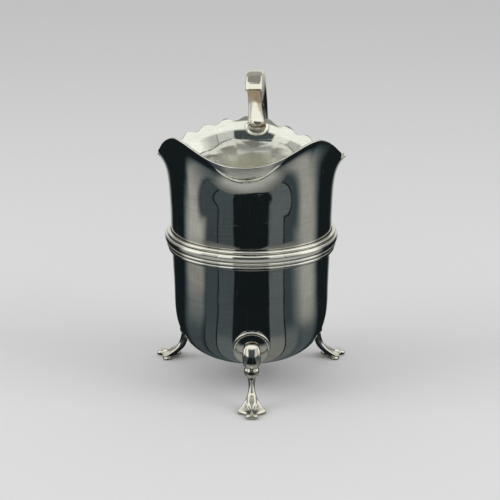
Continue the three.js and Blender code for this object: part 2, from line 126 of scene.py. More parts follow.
def around(angle, radius, z):
    """Point in millimetres at an angle from the lip, turning towards +X."""
    angle, radius, z = np.broadcast_arrays(angle, radius, z)
    return np.stack((radius * np.sin(angle), -radius * np.cos(angle), z), axis=-1)


# The sheet's outline, as functions of the angle from the lip
def scallop(angle):
    place = (np.pi - from_lip(angle)) * SCALLOPS_PER_TURN / (2 * np.pi)
    bite = SCALLOP_DEPTH * np.cos(np.pi * place) ** 2
    return np.where(place > SCALLOP_COUNT / 2, 0, bite)


def sheet_height(angle):
    """Height of the sheet's edge before the scallops are cut."""
    turn = from_lip(angle)
    lip = mix(LIP_Z, WING_Z, ease((turn / WING_ANGLE) ** WING_POWER))
    fall = np.clip((turn - WING_ANGLE) / (SIDE_ANGLE - WING_ANGLE), 0, 1)
    wing = mix(WING_Z, SIDE_Z, ease(fall**SIDE_POWER))
    rise = np.clip((turn - SIDE_ANGLE) / (np.pi - SIDE_ANGLE), 0, 1)
    tilt = np.sign(np.sin(angle)) * BACK_TILT * np.sin(np.pi * rise)
    back = mix(SIDE_Z, BACK_Z, ease(rise**BACK_POWER)) - tilt
    return np.where(turn < WING_ANGLE, lip, np.where(turn < SIDE_ANGLE, wing, back))


def rim_height(angle):
    """Height of the edge with its scallops, which begin past the wings."""
    return sheet_height(angle) - np.where(from_lip(angle) < WING_ANGLE, 0, scallop(angle))


def rim_flare(angle):
    """Flare of the edge beyond the wall."""
    turn = from_lip(angle)
    away = np.hypot(turn / LIP_SPREAD_ANGLE, LIP_ROUNDNESS) - LIP_ROUNDNESS
    near = np.clip(1 - away / (math.hypot(1, LIP_ROUNDNESS) - LIP_ROUNDNESS), 0, 1)
    lip = mix(SIDE_FLARE, LIP_FLARE, near**LIP_FLARE_POWER)
    back = mix(SIDE_FLARE, BACK_FLARE, ease((turn - SIDE_ANGLE) / (np.pi - SIDE_ANGLE)))
    return np.where(turn < LIP_SPREAD_ANGLE, lip, back)


def flare_start(angle):
    return mix(LIP_FLARE_Z, FLARE_Z, ease((from_lip(angle) / WING_ANGLE) ** START_POWER))


def flare_share(angle, share):
    """Share of the rim's flare at a share of its height."""
    curl = SIDE_CURL * ease(from_lip(angle) / SIDE_ANGLE)
    return mix(share**FLARE_POWER, share**CURL_POWER, curl)


def wall_radius(z, angle=0):
    """Outside radius of the bowl and the wall, the same at every angle."""
    drop = np.clip((BOWL_TOP_Z - z) / (BOWL_TOP_Z - BASE_Z), 0, 1)
    bowl = BOWL_RADIUS * (1 - drop**BOWL_SQUARENESS) ** (1 / BOWL_SQUARENESS)
    wall = mix(BOWL_RADIUS, WALL_RADIUS, (z - BOWL_TOP_Z) / (FLARE_Z - BOWL_TOP_Z))
    return np.where(z >= BOWL_TOP_Z, wall, bowl)


def bowl_height(share):
    """Height of the bowl's underside at a share of its radius."""
    drop = (1 - share**BOWL_SQUARENESS) ** (1 / BOWL_SQUARENESS)
    return BOWL_TOP_Z - (BOWL_TOP_Z - BASE_Z) * drop


def inside_radius(z, angle):
    """Inside radius of the flare at a height."""
    start, reach = flare_start(angle), rim_flare(angle)
    rise = sheet_height(angle) - start

    def out(level):
        return WALL_RADIUS + reach * flare_share(angle, (level - start) / rise)

    slope = (out(z + WALL) - out(z - WALL)) / (2 * WALL)
    return out(z) - WALL * np.hypot(1, slope)


# Mesh helpers
def smooth_object(name, points, faces, sharp_angle=40):
    mesh = bpy.data.meshes.new(name)
    mesh.from_pydata([tuple(p) for p in points], [], [tuple(map(int, f)) for f in faces])
    mesh.validate()
    mesh.shade_smooth()
    mesh.set_sharp_from_angle(angle=math.radians(sharp_angle))
    made = bpy.data.objects.new(name, mesh)
    bpy.context.scene.collection.objects.link(made)
    return made


def skin_faces(rows, count):
    """Quads over rows of rings of equal count, and a fan over each end ring."""
    faces = []
    for row in range(rows - 1):
        for i in range(count):
            a, b = row * count + i, row * count + (i + 1) % count
            faces.append((a, b, b + count, a + count))
    start, end, last = rows * count, rows * count + 1, (rows - 1) * count
    for i in range(count):
        after = (i + 1) % count
        faces.append((start, after, i))
        faces.append((end, last + i, last + after))
    return faces


def skin(rings):
    """Points and faces of a closed skin over rings."""
    rings = np.asarray(rings)
    rows, count = rings.shape[:2]
    ends = np.stack((rings[0].mean(axis=0), rings[-1].mean(axis=0)))
    return np.concatenate((rings.reshape(-1, 3), ends)), skin_faces(rows, count)


def shade(piece, name, values):
    """Keeps a share for each point of the mesh, which its material reads."""
    kept = piece.data.attributes.new(name, "FLOAT", "POINT")
    kept.data.foreach_set("value", np.asarray(values, dtype=float))


def carried(piece, node, material):
    """The piece stands for a node, moves with the jug and has a material."""
    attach(piece, "root")
    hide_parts(node)
    piece.data.materials.clear()
    piece.data.materials.append(material)
    return piece


# Fine body
BODY_COLUMNS = 20 * SCALLOPS_PER_TURN
BOWL_ROWS = 26
WALL_ROWS = 24
FLARE_ROWS = 44
EDGE_ROWS = 5
RIM_WALL = 0.62  # the sheet is worked thin towards its edge
RIM_ROUNDING = 0.2
# Unevenness of the sheet: depth, and two waves with their turns, their rise with the height and their start
HAMMER_WAVES = (
    (0.05, (3, 0.11, 0.7), (0, 0.13, 1.9)),
    (0.026, (9, -0.31, 0), (5, 0.23, 0.8)),
    (0.014, (17, 0.52, 2.1), (-7, 0.41, 0)),
)
HAMMER_FROM, HAMMER_OVER = 6.0, 12.0  # radius from which the unevenness grows, and over what length
SATIN_AND_PAINTED_LIGHT = "satin_and_painted_light"  # the inside is duller from a little below the rim, and lighter in colour there as painted light
SATIN_AND_PAINTED_LIGHT_FROM = 8.0
SATIN_AND_PAINTED_LIGHT_DEPTH = 12.0
SATIN_ROUGHNESS = 0.14
# the inside's lighter tint is painted light, brighter than the outside's silver
SATIN_PAINTED_LIGHT_TINT = (0.955, 0.95, 0.915)
# Darkened share of the strap and the tongue: real tarnish under the scroll, painted shade on the strap's
# flanks, and darkening at its foot and in the tongue's field
STAIN_AND_SHADE = "stain_and_shade"


def outer_profile(angle):
    """Rows of (radius, height) up the outside, for every angle."""
    radii, heights = [], []
    for row in range(1, BOWL_ROWS + 1):
        share = math.sin(row / BOWL_ROWS * math.pi / 2) ** (2 / BOWL_SQUARENESS)
        radii.append(np.full_like(angle, BOWL_RADIUS * share))
        heights.append(np.full_like(angle, bowl_height(share)))
    start = flare_start(angle)
    for row in range(1, WALL_ROWS + 1):
        z = mix(BOWL_TOP_Z, start, row / WALL_ROWS)
        radii.append(np.minimum(WALL_RADIUS, wall_radius(z)))
        heights.append(z)
    rise, whole, reach = rim_height(angle) - start, sheet_height(angle) - start, rim_flare(angle)
    for row in range(1, FLARE_ROWS + 1):
        share = math.sin(row / FLARE_ROWS * math.pi / 2)
        radii.append(WALL_RADIUS + reach * flare_share(angle, share * rise / whole))
        heights.append(start + rise * share)
    return np.array(radii), np.array(heights)


def hammered(angle, z):
    """Slight unevenness that raising and planishing leave in the sheet."""
    out = 0
    for depth, *waves in HAMMER_WAVES:
        first, second = (np.sin(turns * angle + rise * z + start) for turns, rise, start in waves)
        out = out + depth * first * second
    return out


def make_body(material):
    angle = np.arange(BODY_COLUMNS) / BODY_COLUMNS * 2 * np.pi
    radius, height = outer_profile(angle)
    radius = radius + hammered(angle, height) * np.clip((radius - HAMMER_FROM) / HAMMER_OVER, 0, 1)
    along = np.stack((np.gradient(radius, axis=0), np.gradient(height, axis=0)))
    along /= np.linalg.norm(along, axis=0)
    thin = ease((np.arange(len(radius)) - BOWL_ROWS - WALL_ROWS) / FLARE_ROWS)[:, None]
    sheet = mix(WALL, RIM_WALL, thin)
    inner_radius, inner_height = radius - along[1] * sheet, height + along[0] * sheet
    edge_radius, edge_height = [], []
    for row in range(1, EDGE_ROWS + 1):
        turn = row / (EDGE_ROWS + 1) * math.pi
        middle_r = (radius[-1] + inner_radius[-1]) / 2
        middle_z = (height[-1] + inner_height[-1]) / 2
        swell = RIM_ROUNDING * math.sin(turn)
        side = math.cos(turn)
        edge_radius.append(middle_r + (radius[-1] - middle_r) * side + along[0][-1] * swell)
        edge_height.append(middle_z + (height[-1] - middle_z) * side + along[1][-1] * swell)
    radii = np.concatenate((radius, edge_radius, inner_radius[::-1]))
    heights = np.concatenate((height, edge_height, inner_height[::-1]))
    points, faces = skin(around(angle, radii, heights))
    piece = smooth_object("body", turned(points), faces)
    # From a little below the rim the inside turns duller and takes a lighter tint as painted light
    depth = ease((inner_height[-1] - inner_height[::-1] - SATIN_AND_PAINTED_LIGHT_FROM) / SATIN_AND_PAINTED_LIGHT_DEPTH)
    satin_and_painted_light = np.zeros(len(points))
    satin_and_painted_light[len(points) - 2 - depth.size:-2] = depth.ravel()
    satin_and_painted_light[-1] = 1
    shade(piece, SATIN_AND_PAINTED_LIGHT, satin_and_painted_light)
    return carried(piece, "body_shell", material)


# Reeded girdle
GIRDLE_SEGMENTS = 256
REED_STEPS = 12


def make_girdle(material):
    top = GIRDLE_Z + GIRDLE_HEIGHT / 2
    profile = [(wall_radius(top) + SEAM, top)]
    for reed, (tall, proud) in enumerate(REED_SHARES):
        for step in range(min(reed, 1), REED_STEPS + 1):
            turn = step / REED_STEPS * math.pi
            z = top - tall * GIRDLE_HEIGHT * (1 - math.cos(turn)) / 2
            out = proud * GIRDLE_PROUD * mix(REED_FOOT, 1, math.sin(turn) ** REED_POWER)
            profile.append((wall_radius(z) + out, z))
        top -= tall * GIRDLE_HEIGHT
    profile.append((wall_radius(top) + SEAM, top))
    angle = np.arange(GIRDLE_SEGMENTS) / GIRDLE_SEGMENTS * 2 * np.pi
    rows = [around(angle, radius, z) for radius, z in reversed(profile)]
    count, total = GIRDLE_SEGMENTS, len(rows)
    faces = []
    for row in range(total):
        for i in range(count):
            after, up = (i + 1) % count, (row + 1) % total
            faces.append((row * count + i, row * count + after, up * count + after, up * count + i))
    piece = smooth_object("girdle", turned(np.concatenate(rows)), faces, sharp_angle=50)
    return carried(piece, "girdle_wire", material)


# Plates with a bead round their edge
PLATE_FIELD = 0.45
PLATE_BEAD = 0.95
PLATE_SPOKES = 96
KNEE_BREADTH, LOWER_BREADTH, TONGUE_BREADTH = 1.8, 1.3, 2.4  # of the beads, against the table below
KNEE_PLATE_WIDTH = 13.2
KNEE_PLATE_RISE = 6.8  # from its widest line to its top
KNEE_PLATE_DROP = 3.9  # from its widest line to its lower point
KNEE_PLATE_Z = 21.0  # height of its widest line
KNEE_PLATE_POWERS = 1, 1.2
LOWER_PLATE_DROP = 4.6  # from the girdle down to its top
LOWER_PLATE_WIDTH = 7.4
LOWER_PLATE_HEIGHT = 9.6
LOWER_PLATE_Z = GIRDLE_Z - GIRDLE_HEIGHT / 2 - LOWER_PLATE_DROP - LOWER_PLATE_HEIGHT / 2
LOWER_PLATE_POWERS = 1, 1
TONGUE_WIDTH = 8.9
TONGUE_HEIGHT = 4.7
TONGUE_DROP = 1.2  # from the back rim down to its top
TONGUE_FIELD = 0.4
TONGUE_BEAD = 0.65
TONGUE_POWERS = 0.35, 1
BEAD_SHARE = 0.885  # where the bead ends and the field begins
# Rows over a plate: share of the outline, of the bead's height and of the field's height
PLATE_SHARES = (
    (0.5, 0, 0), (1, 0, 0), (1, 0.45, 0), (0.992, 0.72, 0), (0.972, 0.93, 0), (0.945, 1, 0),
    (0.918, 0.93, 0), (0.898, 0.76, 0), (BEAD_SHARE, 0, 1.05), (0.86, 0, 1), (0.66, 0, 1),
    (0.4, 0, 1), (0.15, 0, 1),
)


def plate_outline(width, rise, drop, powers):
    """Outline of (across, up) points, squarer where the upper or the lower power is under 1."""
    turn = np.arange(PLATE_SPOKES) / PLATE_SPOKES * 2 * np.pi
    upper = turn < np.pi
    power = np.where(upper, *powers)
    across = bulge(np.cos(turn), power) * width / 2
    up = bulge(np.sin(turn), power) * np.where(upper, rise, drop)
    return across, up


def plate(outline, angle, height, radius_at, facing, field, bead, breadth):
    """Closed skin of a plate on a round wall, facing out (1) or in (-1)."""
    across, up = outline
    rings = []
    for share, of_bead, of_field in PLATE_SHARES:
        if share < BEAD_SHARE:
            share *= (1 - (1 - BEAD_SHARE) * breadth) / BEAD_SHARE
        else:
            share = 1 - (1 - share) * breadth
        z = height + up * share
        turn = angle + facing * across * share / radius_at(z, angle)
        lift = SEAM + of_bead * bead + of_field * field
        rings.append(around(turn, radius_at(z, turn) + facing * lift, z))
    return skin(rings)


def make_tongue(material):
    half = TONGUE_HEIGHT / 2
    outline = plate_outline(TONGUE_WIDTH, half, half, TONGUE_POWERS)
    middle = BACK_Z - TONGUE_DROP - half
    points, faces = plate(
        outline, np.pi, middle, inside_radius, -1, TONGUE_FIELD, TONGUE_BEAD, TONGUE_BREADTH
    )
    piece = smooth_object("tongue", turned(points), faces)
    # The field inside the bead is darkened with the tarnished tint, the bead is not
    field = np.repeat([share < BEAD_SHARE for share, _, _ in PLATE_SHARES], PLATE_SPOKES)
    shade(piece, STAIN_AND_SHADE, np.concatenate((field, (0, 1))))  # the last two are the middles of back and face
    return carried(piece, "handle_tongue", material)


def make_lower_plate(material):
    half = LOWER_PLATE_HEIGHT / 2
    outline = plate_outline(LOWER_PLATE_WIDTH, half, half, LOWER_PLATE_POWERS)
    points, faces = plate(
        outline, np.pi, LOWER_PLATE_Z, wall_radius, 1, PLATE_FIELD, PLATE_BEAD, LOWER_BREADTH
    )
    piece = smooth_object("lower_plate", turned(points), faces)
    return carried(piece, "handle_lower_plate", material)


# Lofts
ROUND_OFF = 1e-9
LEAST_GAP = 1e-3


def section(centre, along, width, thickness, powers, sides):
    """Ring square to a path; its upper half takes the first power, its lower half the second."""
    along = along / np.linalg.norm(along)
    across = np.array((1.0, 0, 0))
    up = np.cross(along, across)
    up /= np.linalg.norm(up)
    turn = np.arange(sides) / sides * 2 * np.pi
    power = np.where(np.sin(turn) > ROUND_OFF, *powers)
    over = bulge(np.cos(turn), power)[:, None] * across * width / 2
    high = bulge(np.sin(turn), power)[:, None] * up * thickness / 2
    return centre + over + high


def flowing(rows, steps):
    """Rows that start with a place, resampled along a smooth curve that neither loops nor overshoots."""
    rows = np.asarray(rows, dtype=float)
    ahead = np.concatenate((2 * rows[:1] - rows[1:2], rows, 2 * rows[-1:] - rows[-2:-1]))
    gaps = np.maximum(np.linalg.norm(np.diff(ahead[:, :3], axis=0), axis=1), LEAST_GAP) ** 0.5
    made = []
    for i in range(len(rows) - 1):
        p0, p1, p2, p3 = ahead[i:i + 4]
        d0, d1, d2 = gaps[i:i + 3]
        m1 = ((p1 - p0) / d0 - (p2 - p0) / (d0 + d1) + (p2 - p1) / d1) * d1
        m2 = ((p2 - p1) / d1 - (p3 - p1) / (d1 + d2) + (p3 - p2) / d2) * d1
        for step in range(steps + (i == len(rows) - 2)):
            t = step / steps
            made.append(
                p1 + m1 * t + (3 * (p2 - p1) - 2 * m1 - m2) * t**2 + (2 * (p1 - p2) + m1 + m2) * t**3
            )
    return np.array(made)


# Handle scroll and strap
HANDLE_REACH = 67.5
HANDLE_OVERHANG = 0.6  # middle of its square end past the back rim
HANDLE_LEAN = math.radians(-1.3)
HANDLE_WIDTH = 6.6
HANDLE_THICKNESS = 3.4
TAIL_DROP = 4.4  # from the middle of the lower plate
TAIL_Z = LOWER_PLATE_Z - TAIL_DROP
TAIL_WIDTH = 4.4
TAIL_THICKNESS = 2.0
TAIL_SEAT = 0.5  # nearer to the lower plate, so that the bend touches its field
BAR_POWERS = 0.42, 0.8  # the bar is squarer at its upper end
# Middle of the scroll over its crest and down to its tail: shares of the reach, from the rim and then from
# the lower plate, and of the height above the tail
CREST_SHARES = (
    (0, 0.933), (0.038, 0.967), (0.12, 0.994), (0.27, 1), (0.556, 0.952), (0.82, 0.8355),
    (0.963, 0.683), (1, 0.53),
)
FALL_SHARES = (
    (0.918, 0.37), (0.712, 0.236), (0.444, 0.156), (0.224, 0.1165), (0.073, 0.076),
    (0.04, 0.032), (0.1, 0), (0.182, 0.0146),
)
SCROLL_STEPS = 14
SCROLL_SIDES = 64
TAPER_FROM_SHARE, SQUARE_TO_SHARE = 0.25, 0.5  # of the way along the scroll
FILED, FILED_LENGTH = 0.3, 0.1  # the square end is eased with a file
TAIL_END_LENGTH = 0.35
TAIL_END_SHARES = 0.7, 0.6  # of the tail's width and thickness

STRAP_WIDTH = 5.0
STRAP_THICKNESS = 2.2
STRAP_FOOT_WIDTH = 6.1
STRAP_FOOT_DROP = 1.6  # from the back rim down to the strap's foot
STRAP_FOOT_SINK = 0.5  # how far its foot reaches past the seam towards the wall
STRAP_TOP_SINK = 0.2  # how far its top reaches into the scroll's square end
STRAP_POWERS = 1, 1
STRAP_STEPS = 12
STRAP_SIDES = 40
# Rows up the strap: way from its foot to its top, spread towards the foot's width, share of the thickness
STRAP_SHARES = (
    (-0.075, -2.0, 0.35), (-0.06, -0.9, 0.6), (-0.02, 0.4, 0.85), (0.05, 1, 1), (0.18, 0.85, 1),
    (0.42, 0.2, 1), (0.7, 0, 1), (1, 0, 1),
)
# Tarnish and painted shade on the strap: shares of its way at which the tarnish begins under the scroll and
# the darkening ends above the foot, and shares of its width left undarkened between flanks darkened as
# painted shade, at its top and at its foot, so that the middle widens towards the foot like a highlight
TOP_STAIN_SHARE, TOP_STAIN_OVER_SHARE = 0.6, 0.12
FOOT_DARKENING_SHARE = 0.08
UNSHADED_SHARES, UNSHADED_OVER_SHARE = (0.2, 0.7), 0.45
FLANK_SHADE, FLANK_OVER_SHARE = 0.7, 0.25


def scroll_rows():
    """Places along the middle of the scroll."""
    front = WALL_RADIUS + BACK_FLARE + HANDLE_OVERHANG
    wall = wall_radius(LOWER_PLATE_Z) + SEAM + PLATE_FIELD - TAIL_SEAT
    back = HANDLE_REACH - HANDLE_THICKNESS / 2
    top = JUG_HEIGHT - HANDLE_THICKNESS / 2
    rows = [(0, mix(front, back, y), mix(TAIL_Z, top, z)) for y, z in CREST_SHARES]
    rows += [(0, mix(wall, back, y), mix(TAIL_Z, top, z)) for y, z in FALL_SHARES]
    return rows


def leaned(points):
    """The scroll's lean to one side, about the middle of the lower plate."""
    points = np.array(points, dtype=float)
    rise = points[..., 2] - LOWER_PLATE_Z
    side = points[..., 0].copy()
    points[..., 0] = side * math.cos(HANDLE_LEAN) + rise * math.sin(HANDLE_LEAN)
    points[..., 2] = LOWER_PLATE_Z + rise * math.cos(HANDLE_LEAN) - side * math.sin(HANDLE_LEAN)
    return points


def make_scroll(material):
    centres = flowing(scroll_rows(), SCROLL_STEPS)
    along = np.gradient(centres, axis=0)
    along /= np.linalg.norm(along, axis=1)[:, None]
    rings = []
    last = len(centres) - 1
    for i, (centre, way) in enumerate(zip(centres, along)):
        slim = ease((i / last - TAPER_FROM_SHARE) / (1 - TAPER_FROM_SHARE))
        width = mix(HANDLE_WIDTH, TAIL_WIDTH, slim)
        thickness = mix(HANDLE_THICKNESS, TAIL_THICKNESS, slim)
        powers = [mix(*BAR_POWERS, ease(i / last / SQUARE_TO_SHARE))] * 2
        if i == 0:
            rings.append(section(centre, way, width - FILED, thickness - FILED, powers, SCROLL_SIDES))
            centre = centre + way * FILED_LENGTH
        rings.append(section(centre, way, width, thickness, powers, SCROLL_SIDES))
        if i == last:
            across, through = TAIL_END_SHARES
            centre = centre + way * TAIL_END_LENGTH
            rings.append(section(centre, way, width * across, thickness * through, powers, SCROLL_SIDES))
    points, faces = skin(rings)
    piece = smooth_object("scroll", turned(leaned(points)), faces, sharp_angle=60)
    return carried(piece, "handle_scroll", material)


def strap_stain_and_shade(way, side):
    """Tarnish under the scroll, darkening at the foot and painted shade on the flanks, at a share of the way
    up the strap and of its half width.
    """
    top = ease((way - TOP_STAIN_SHARE) / TOP_STAIN_OVER_SHARE)
    foot = ease((FOOT_DARKENING_SHARE - way) / FOOT_DARKENING_SHARE)
    unshaded = mix(*UNSHADED_SHARES, np.clip((TOP_STAIN_SHARE - way) / UNSHADED_OVER_SHARE, 0, 1))
    flank = FLANK_SHADE * ease((side - unshaded) / FLANK_OVER_SHARE)
    return np.minimum(top + foot + flank, 1)


def make_strap(material):
    start, after = flowing(scroll_rows(), SCROLL_STEPS)[:2]
    way = (after - start) / np.linalg.norm(after - start)
    top = leaned(start + way * STRAP_TOP_SINK)
    level = BACK_Z - STRAP_FOOT_DROP
    seat = float(inside_radius(level, np.pi)) - SEAM - TONGUE_BEAD - SEAM
    foot = np.array((0, seat - STRAP_THICKNESS / 2 + STRAP_FOOT_SINK, level))
    rows = []
    for share, spread, thickness in STRAP_SHARES:
        width = mix(STRAP_WIDTH, STRAP_FOOT_WIDTH, spread)
        rows.append((*mix(foot, top, share), width, thickness * STRAP_THICKNESS))
    rings = [
        section(row[:3], top - foot, row[3], row[4], STRAP_POWERS, STRAP_SIDES)
        for row in flowing(rows, STRAP_STEPS)
    ]
    points, faces = skin(rings)
    piece = smooth_object("strap", turned(points), faces, sharp_angle=60)
    turn = np.arange(len(points)) % STRAP_SIDES / STRAP_SIDES * 2 * np.pi
    # The flanks' share is painted shade; the share under the scroll is tarnish
    shade(piece, STAIN_AND_SHADE, strap_stain_and_shade((points[:, 2] - foot[2]) / (top[2] - foot[2]), np.abs(np.cos(turn))))
    return carried(piece, "handle_strap", material)


# Legs, drawn as the one under the lip
FEET_TURN = math.radians(4.3)
LEG_SIDES = ("front", "right", "left")
KNEE_PROUD = 2.8  # front of the knee from its plate's bead
KNEE_THICKNESS = 3.8
SHAFT_REACH = float(wall_radius(KNEE_PLATE_Z)) + SEAM + PLATE_BEAD + KNEE_PROUD - KNEE_THICKNESS / 2
FOOT_SWEEP = 12.5  # from the middle of the knee out to the toe's tip
FOOT_REACH = SHAFT_REACH + FOOT_SWEEP
FOOT_WIDTH = 10.0
LEG_STEPS = 5
SHAFT_SIDES = 48
TOE_SIDES = 32
LEVEL_FROM, LEVEL_OVER = 9.0, 2.0  # height and length over which the sections turn level for the knop
# Rows down the leg: reach from the middle of the knee, height, width, thickness, and powers of the outer
# and inner half
LEG_ROWS = (
    (0, 23.2, 2.0, 0.4, 1, 1), (0, 22.95, 3.2, 0.8, 1, 1), (0, 22.3, 4.6, 1.7, 1, 1),
    (0, 21.1, 5.8, 2.9, 1, 0.9), (0, 19.6, 6.5, 3.9, 1, 0.85), (0, 18.1, 6.6, 4.4, 1, 0.85),
    (0, 16.9, 6.45, 4.35, 1, 0.85), (0, 16, 6.15, 4.0, 1, 0.9), (0, 15.35, 5.7, 3.6, 1, 0.95),
    (0, 14.9, 5.1, 3.3, 1, 1),
    (0, 14.6, 4.8, 3.15, 1, 1), (0, 14.3, 4.9, 3.4, 1, 1), (0, 13.7, 5.25, 3.95, 1, 1),
    (0, 12.9, 5.35, 4.2, 1, 1), (0.02, 12.1, 5.0, 4.0, 1, 1), (0.06, 11.6, 4.2, 3.6, 1, 1),
    (0.12, 11.2, 3.4, 3.3, 1, 1), (0.25, 10.6, 2.9, 3.1, 1, 1), (0.6, 9.3, 2.5, 3.0, 1, 1),
    (0.95, 8.2, 2.25, 2.9, 1, 1), (1.35, 7.1, 2.3, 2.85, 1, 1), (1.85, 6.1, 2.6, 2.7, 1, 1),
    (2.6, 4.95, 3.4, 2.5, 1, 1), (3.8, 3.65, 4.8, 2.3, 1.1, 1), (5.2, 2.45, 7.0, 2.2, 1.3, 1),
    (6.4, 1.65, 9.2, 2.2, 1.5, 1), (7.3, 1.3, 9.7, 2.2, 1.6, 1), (8.1, 1.1, 8.4, 2.0, 1.5, 1),
    (9.2, 1.0, 5.4, 1.9, 1.2, 1), (10.4, 0.95, 3.6, 1.8, 1, 1),
)
# Rows down the ridge that ends in the toe: reach, height, width and thickness
TOE_ROWS = (
    (1.4, 6.1, 2.0, 2.4), (2.4, 5.05, 2.7, 2.8), (3.6, 4.0, 3.5, 3.2), (4.8, 3.05, 4.0, 3.6),
    (5.8, 2.4, 3.8, 3.6), (6.8, 1.9, 2.9, 3.2), (7.8, 1.55, 2.2, 2.8), (8.8, 1.3, 2.1, 2.5),
    (9.8, 1.15, 2.9, 2.4), (10.8, 1.05, 4.3, 2.3), (11.7, 0.95, 4.5, 2.1), (12.2, 0.9, 4.0, 1.9),
    (12.5, 0.85, 2.6, 1.5),
)
CORNER_LAG = 6.0  # from the toe's tip back to the middle of a corner
CORNER_RADIUS = 1.6
CORNER_HEIGHT = 1.35
CORNER_POWER = 0.7
CORNER_ROWS = 16
CORNER_SIDES = 28
LEG_REMESH = {"mode": "VOXEL", "voxel_size": 0.13}
LEG_SMOOTHING = {"factor": 0.5, "iterations": 3}
LEG_SINK = 0.1  # how far the knee's back reaches into its plate
LEG_SEAT_RISE = 6.0  # above this rise from the bowl's underside, the knee is held to its plate


def leg_shaft():
    rows = flowing([(0, -SHAFT_REACH - out, z, w, t, p, q) for out, z, w, t, p, q in LEG_ROWS], LEG_STEPS)
    along = np.gradient(rows[:, :3], axis=0)
    upright = np.clip((rows[:, 2] - LEVEL_FROM) / LEVEL_OVER, 0, 1)[:, None]
    along = mix(along / np.linalg.norm(along, axis=1)[:, None], np.array((0, 0, -1.0)), upright)
    return skin([
        section(row[:3], way, row[3], row[4], row[5:7], SHAFT_SIDES) for row, way in zip(rows, along)
    ])


def leg_toe():
    rows = flowing([(0, -SHAFT_REACH - out, z, w, t) for out, z, w, t in TOE_ROWS], LEG_STEPS)
    forward = np.array((0, -1.0, 0))
    return skin([section(row[:3], forward, row[3], row[4], (1, 1), TOE_SIDES) for row in rows])


def leg_corner(side):
    """Skin of the foot's corner on one side, flat on top."""
    turn = np.arange(CORNER_SIDES) / CORNER_SIDES * 2 * np.pi
    rings = []
    for row in range(1, CORNER_ROWS):
        tilt = row / CORNER_ROWS * math.pi
        reach = CORNER_RADIUS * math.sin(tilt) ** CORNER_POWER
        rings.append(np.stack((
            reach * np.cos(turn) + side * (FOOT_WIDTH / 2 - CORNER_RADIUS),
            reach * np.sin(turn) + CORNER_LAG - FOOT_REACH,
            np.full_like(turn, -CORNER_HEIGHT * bulge(math.cos(tilt), CORNER_POWER)),
        ), axis=-1))
    return skin(rings)


def fused(parts):
    """Points and faces of one closed skin over several closed skins that overlap."""
    points, faces, count = [], [], 0
    for part_points, part_faces in parts:
        points.append(part_points)
        faces += [tuple(corner + count for corner in face) for face in part_faces]
        count += len(part_points)
    rough = smooth_object("rough", np.concatenate(points), faces)
    for kind, settings in (("REMESH", LEG_REMESH), ("SMOOTH", LEG_SMOOTHING)):
        modifier = rough.modifiers.new(kind.lower(), kind)
        for name, value in settings.items():
            setattr(modifier, name, value)
    shown = rough.evaluated_get(bpy.context.evaluated_depsgraph_get())
    mesh = shown.to_mesh()
    made = np.array([tuple(vertex.co) for vertex in mesh.vertices])
    made_faces = [tuple(polygon.vertices) for polygon in mesh.polygons]
    shown.to_mesh_clear()
    data = rough.data
    bpy.data.objects.remove(rough)
    bpy.data.meshes.remove(data)
    return made, made_faces


def seated(points):
    """The knee's back held to the face of its plate, and the sole to the table."""
    points = points.copy()
    reach = np.hypot(points[:, 0], points[:, 1])
    seat = wall_radius(points[:, 2]) + SEAM + PLATE_FIELD - LEG_SINK
    sunk = (reach < seat) & (points[:, 2] >= BASE_Z + LEG_SEAT_RISE)
    points[:, :2] *= np.where(sunk, seat / np.maximum(reach, 1), 1)[:, None]
    points[:, 2] = np.maximum(points[:, 2], 0)
    return points


def make_legs(cast, plated):
    points, faces = fused([leg_shaft(), leg_toe(), leg_corner(-1), leg_corner(1)])
    points = seated(points)
    outline = plate_outline(KNEE_PLATE_WIDTH, KNEE_PLATE_RISE, KNEE_PLATE_DROP, KNEE_PLATE_POWERS)
    plate_points, plate_faces = plate(
        outline, 0, KNEE_PLATE_Z, wall_radius, 1, PLATE_FIELD, PLATE_BEAD, KNEE_BREADTH
    )
    for i, side in enumerate(LEG_SIDES):
        turn = FEET_TURN + i / len(LEG_SIDES) * 2 * math.pi
        leg = smooth_object(f"{side}_leg", turned(points, turn), faces, sharp_angle=80)
        carried(leg, f"leg_{side}", cast)
        knee = smooth_object(f"{side}_knee_plate", turned(plate_points, turn), plate_faces)
        carried(knee, f"knee_plate_{side}", plated)


# Camera, from the photograph's perspective
CAMERA_DISTANCE = 451.5 * MM
CAMERA_HEIGHT = 190.6 * MM
CAMERA_PITCH = math.radians(17.45)
CAMERA_YAW = math.radians(4.0)
CAMERA_AIM = math.radians(0.06)
LENS = 93.6
SENSOR_WIDTH = 36


def make_camera():
    data = bpy.data.cameras.new("camera")
    data.lens = LENS
    data.sensor_width = SENSOR_WIDTH
    camera = bpy.data.objects.new("camera", data)
    camera.location = (
        AXIS.x + CAMERA_DISTANCE * math.sin(CAMERA_YAW),
        AXIS.y - CAMERA_DISTANCE * math.cos(CAMERA_YAW),
        CAMERA_HEIGHT,
    )
    camera.rotation_euler = (math.pi / 2 - CAMERA_PITCH, 0, CAMERA_YAW + CAMERA_AIM)
    bpy.context.scene.collection.objects.link(camera)
    bpy.context.scene.camera = camera


